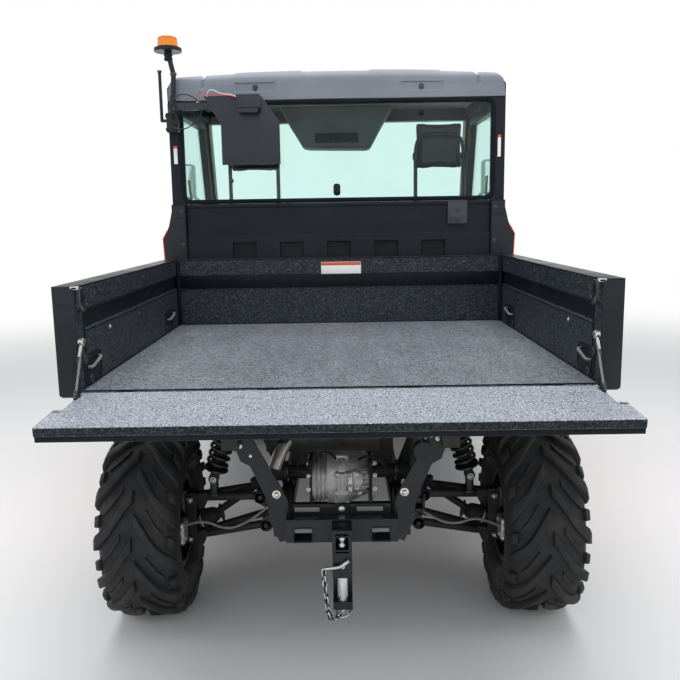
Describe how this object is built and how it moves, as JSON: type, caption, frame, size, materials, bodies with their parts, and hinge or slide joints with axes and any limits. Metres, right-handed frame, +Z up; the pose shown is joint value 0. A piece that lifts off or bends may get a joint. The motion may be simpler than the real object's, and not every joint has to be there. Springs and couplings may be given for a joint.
{
  "type": "side by side utility vehicle",
  "caption": "Four-wheel side by side utility vehicle with a closed cab, a tipping cargo bed with its tailgate down, a rear hitch frame and a beacon on the roof.",
  "frame": {"origin": "on the ground, midway along and across the vehicle's box", "axes": "+Y is the vehicle's front, +X its right side, +Z up"},
  "size_m": [1.88, 3.34, 2.1683],
  "materials": {
    "frame_paint": "satin",
    "hitch_paint": "gloss",
    "spring_paint": "gloss",
    "cast_aluminium": "rough cast",
    "engine_block": "rough",
    "exhaust_steel": "dull",
    "shaft_steel": "satin",
    "bed_liner": "coarse sprayed liner",
    "cable_sleeve": "satin",
    "cylinder_paint": "gloss",
    "chrome_rod": "polished",
    "cab_paint": "fine texture",
    "cab_plastic": "grained",
    "seal_rubber": "matte",
    "window_glass": "clear, slightly green",
    "floor_plastic": "grained",
    "seat_cover": "soft vinyl",
    "dash_plastic": "grained",
    "body_orange": "gloss",
    "lamp_clear": "clear",
    "board_plastic": "satin",
    "mount_black": "satin",
    "amber_lens": "translucent",
    "rim_paint": "satin",
    "tyre_rubber": "rubber"
  },
  "bodies": {
    "chassis": {"main_frame": "frame_paint", "hitch_frame": "frame_paint", "pin_hitch": "hitch_paint", "suspension_arms": "frame_paint", "shock_absorbers": "spring_paint", "rear_knuckles": "frame_paint", "transaxle": "cast_aluminium", "drive_shafts": "shaft_steel", "engine": "engine_block", "exhaust": "exhaust_steel", "cab_frame": "cab_paint", "cab_rear_panel": "cab_plastic", "roof": "cab_plastic", "rear_window_seal": "seal_rubber", "cab_glass": "window_glass", "cab_floor": "floor_plastic", "seats": "seat_cover", "headrests": "seat_cover", "dashboard": "dash_plastic", "front_body": "body_orange", "bumper": "frame_paint", "headlamps": "lamp_clear", "side_panels": "body_orange", "plate_board": "board_plastic", "beacon_mount": "mount_black", "beacon_lens": "amber_lens", "brake_hose_left": "seal_rubber", "brake_hose_right": "seal_rubber", "lamp_wire_upper": "seal_rubber", "lamp_wire_lower": "seal_rubber"},
    "bed": {"bed_floor": "bed_liner", "bed_walls": "bed_liner", "tailgate_cables": "cable_sleeve"},
    "tailgate": {"tailgate": "bed_liner"},
    "lift_barrel": {"cylinder_barrel": "cylinder_paint"},
    "lift_rod": {"cylinder_rod": "chrome_rod"},
    "door_left": {"door_left": "body_orange", "door_glass_left": "window_glass", "mirror_left": "mount_black"},
    "door_right": {"door_right": "body_orange", "door_glass_right": "window_glass", "mirror_right": "mount_black"},
    "bonnet": {"bonnet": "body_orange"},
    "steering_wheel": {"steering_wheel": "dash_plastic"},
    "steering_rack": {"steering_rack": "frame_paint"},
    "knuckle_left": {"front_knuckle_left": "frame_paint"},
    "knuckle_right": {"front_knuckle_right": "frame_paint"},
    "wheel_front_left": {"front_rim_left": "rim_paint", "front_tyre_left": "tyre_rubber"},
    "wheel_front_right": {"front_rim_right": "rim_paint", "front_tyre_right": "tyre_rubber"},
    "wheel_rear_left": {"rear_rim_left": "rim_paint", "rear_tyre_left": "tyre_rubber"},
    "wheel_rear_right": {"rear_rim_right": "rim_paint", "rear_tyre_right": "tyre_rubber"}
  },
  "joints": [
    {"name": "bed_tilt", "type": "hinge", "parent": "chassis", "child": "bed", "pos_m": [0, -1.25001, 0.838], "axis": [1, 0, 0], "range_deg": [0, 40]},
    {"name": "tailgate", "type": "hinge", "parent": "bed", "child": "tailgate", "pos_m": [0, -1.37501, 0.898], "axis": [-1, 0, 0], "range_deg": [0, 93.94], "deforming": ["tailgate_cables"]},
    {"name": "lift_swing", "type": "hinge", "parent": "chassis", "child": "lift_barrel", "pos_m": [0.25, -1.02001, 0.44], "axis": [1, 0, 0], "range_deg": [0, 2.1]},
    {"name": "lift_slide", "type": "slide", "parent": "lift_barrel", "child": "lift_rod", "axis": [0, -0.0787, 0.9969], "range_m": [0, 0.1395]},
    {"name": "door_left", "type": "hinge", "parent": "chassis", "child": "door_left", "pos_m": [-0.825, 1.086, 1], "axis": [0, 0, -1], "range_deg": [0, 70]},
    {"name": "door_right", "type": "hinge", "parent": "chassis", "child": "door_right", "pos_m": [0.825, 1.086, 1], "axis": [0, 0, 1], "range_deg": [0, 70]},
    {"name": "bonnet", "type": "hinge", "parent": "chassis", "child": "bonnet", "pos_m": [0, 1.215, 1.142], "axis": [1, 0, 0], "range_deg": [0, 50]},
    {"name": "steer_left", "type": "hinge", "parent": "chassis", "child": "knuckle_left", "pos_m": [-0.56, 1.16999, 0.325], "axis": [0, 0, 1], "range_deg": [-28, 28]},
    {"name": "steer_right", "type": "hinge", "parent": "chassis", "child": "knuckle_right", "pos_m": [0.56, 1.16999, 0.325], "axis": [0, 0, 1], "range_deg": [-28.5, 28.5]},
    {"name": "rack_slide", "type": "slide", "parent": "chassis", "child": "steering_rack", "axis": [1, 0, 0], "range_m": [-0.0545, 0.0545]},
    {"name": "steering_wheel", "type": "hinge", "parent": "chassis", "child": "steering_wheel", "pos_m": [-0.4, 0.77499, 1.165], "axis": [0, -0.848, 0.5299], "range_deg": [-282, 282]},
    {"name": "spin_front_left", "type": "hinge", "parent": "knuckle_left", "child": "wheel_front_left", "pos_m": [-0.665, 1.16999, 0.325], "axis": [1, 0, 0], "continuous": true},
    {"name": "spin_rear_left", "type": "hinge", "parent": "chassis", "child": "wheel_rear_left", "pos_m": [-0.665, -0.88001, 0.325], "axis": [1, 0, 0], "continuous": true},
    {"name": "spin_front_right", "type": "hinge", "parent": "knuckle_right", "child": "wheel_front_right", "pos_m": [0.665, 1.16999, 0.325], "axis": [1, 0, 0], "continuous": true},
    {"name": "spin_rear_right", "type": "hinge", "parent": "chassis", "child": "wheel_rear_right", "pos_m": [0.665, -0.88001, 0.325], "axis": [1, 0, 0], "continuous": true}
  ],
  "couplings": [
    {"joint": "lift_swing", "follows": "bed_tilt", "ratio": 0.05},
    {"joint": "lift_slide", "follows": "bed_tilt", "m_per_rad": 0.1983},
    {"joint": "steer_right", "follows": "steer_left", "ratio": 1},
    {"joint": "rack_slide", "follows": "steer_left", "m_per_rad": 0.11},
    {"joint": "steering_wheel", "follows": "steer_left", "ratio": 10}
  ]
}
